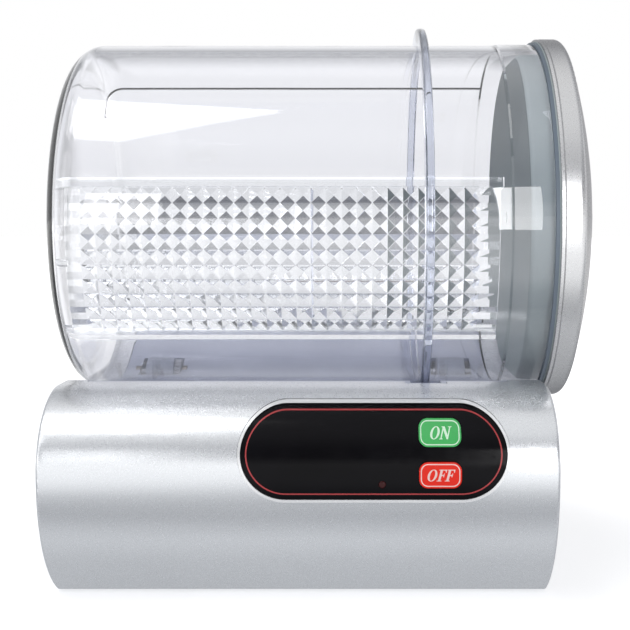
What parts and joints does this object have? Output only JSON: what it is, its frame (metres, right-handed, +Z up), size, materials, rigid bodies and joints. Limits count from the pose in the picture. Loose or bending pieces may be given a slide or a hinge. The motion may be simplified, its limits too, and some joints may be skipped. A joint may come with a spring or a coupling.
{
  "type": "vacuum tumbler",
  "caption": "Clear drum with a guide ring and a textured kneading plate, lying on the rollers of a silver motor base with a front panel; a silver lid with a release valve closes it.",
  "frame": {"origin": "middle of the footprint, at the level of the feet's undersides", "axes": "+Z up, the object's longest extent; +X along the drum's axis towards the lid; -Y towards the side with the control panel, Y being the shortest extent"},
  "size_m": [0.2438, 0.1998, 0.251],
  "materials": {
    "silver_shell": "satin silver paint on moulded plastic",
    "tray_grey": "satin moulded plastic",
    "cover_grey": "fine-textured moulded plastic",
    "foot_rubber": "moulded rubber",
    "steel": "turned steel",
    "bezel_chrome": "polished plating",
    "panel_black": "high gloss",
    "led_red": "tinted lens",
    "board_green": "coated circuit board",
    "switch_black": "moulded plastic",
    "bronze": "sintered bronze",
    "motor_steel": "zinc-plated steel",
    "hub_plastic": "moulded plastic",
    "roller_rubber": "ground rubber",
    "button_green": "gloss",
    "button_red": "gloss",
    "clear_plastic": "clear moulded plastic",
    "plate_plastic": "clear moulded plastic",
    "lid_silver": "satin silver paint on moulded plastic",
    "plug_grey": "moulded plastic",
    "seal_rubber": "soft moulded rubber",
    "knob_dark": "moulded plastic"
  },
  "bodies": {
    "base": {"base_shell": "silver_shell", "cradle_tray": "tray_grey", "bottom_cover": "cover_grey", "rubber_feet": "foot_rubber", "cover_screws": "steel", "panel_bezel": "bezel_chrome", "control_panel": "panel_black", "status_led": "led_red", "timer_board": "board_green", "board_screws": "steel", "tact_switches": "switch_black", "idle_axles": "steel", "drive_bushes": "bronze", "gear_motor": "motor_steel", "motor_bracket": "motor_steel", "bracket_screws": "steel", "power_inlet": "switch_black", "inlet_nut": "steel"},
    "drive_roller": {"rear_left_hub": "hub_plastic", "rear_left_tyre": "roller_rubber", "drive_axle": "steel"},
    "rear_idle_roller": {"rear_right_hub": "hub_plastic", "rear_right_tyre": "roller_rubber"},
    "front_left_roller": {"front_left_hub": "hub_plastic", "front_left_tyre": "roller_rubber"},
    "front_right_roller": {"front_right_hub": "hub_plastic", "front_right_tyre": "roller_rubber"},
    "pinion": {"motor_pinion": "bronze", "motor_shaft": "steel"},
    "on_button": {"on_button": "button_green"},
    "off_button": {"off_button": "button_red"},
    "drum": {"drum_shell": "clear_plastic", "guide_ring": "clear_plastic", "kneading_plate": "plate_plastic"},
    "lid": {"lid_cap": "lid_silver", "lid_plug": "plug_grey", "lid_gasket": "seal_rubber", "valve_spring": "steel"},
    "valve": {"valve_stem": "plug_grey", "valve_seal": "seal_rubber", "valve_knob": "knob_dark"}
  },
  "joints": [
    {"name": "drum_spin", "type": "hinge", "parent": "base", "child": "drum", "pos_m": [0, 0, 0.161], "axis": [1, 0, 0], "continuous": true},
    {"name": "drive_roller_spin", "type": "hinge", "parent": "base", "child": "drive_roller", "pos_m": [-0.0901, 0.03606, 0.07604], "axis": [1, 0, 0], "continuous": true},
    {"name": "rear_idle_spin", "type": "hinge", "parent": "base", "child": "rear_idle_roller", "pos_m": [0.0579, 0.03606, 0.07604], "axis": [1, 0, 0], "continuous": true},
    {"name": "front_left_spin", "type": "hinge", "parent": "base", "child": "front_left_roller", "pos_m": [-0.0901, -0.03606, 0.07604], "axis": [1, 0, 0], "continuous": true},
    {"name": "front_right_spin", "type": "hinge", "parent": "base", "child": "front_right_roller", "pos_m": [0.0579, -0.03606, 0.07604], "axis": [1, 0, 0], "continuous": true},
    {"name": "pinion_spin", "type": "hinge", "parent": "base", "child": "pinion", "pos_m": [-0.081, 0.042, 0.06205], "axis": [1, 0, 0], "continuous": true},
    {"name": "on_press", "type": "slide", "parent": "base", "child": "on_button", "axis": [0, 1, 0], "range_m": [0, 0.001], "stiffness_N_per_m": 400},
    {"name": "off_press", "type": "slide", "parent": "base", "child": "off_button", "axis": [0, 1, 0], "range_m": [0, 0.001], "stiffness_N_per_m": 400},
    {"name": "lid_pull", "type": "slide", "parent": "drum", "child": "lid", "axis": [1, 0, 0], "range_m": [0, 0.08]},
    {"name": "valve_pull", "type": "slide", "parent": "lid", "child": "valve", "axis": [1, 0, 0], "range_m": [0, 0.003], "stiffness_N_per_m": 600, "springref_m": -0.003, "deforming": ["valve_spring"]}
  ],
  "couplings": [
    {"joint": "drive_roller_spin", "follows": "drum_spin", "ratio": -8.2},
    {"joint": "rear_idle_spin", "follows": "drum_spin", "ratio": -8.2},
    {"joint": "front_left_spin", "follows": "drum_spin", "ratio": -8.2},
    {"joint": "front_right_spin", "follows": "drum_spin", "ratio": -8.2},
    {"joint": "pinion_spin", "follows": "drum_spin", "ratio": 9.1111}
  ]
}
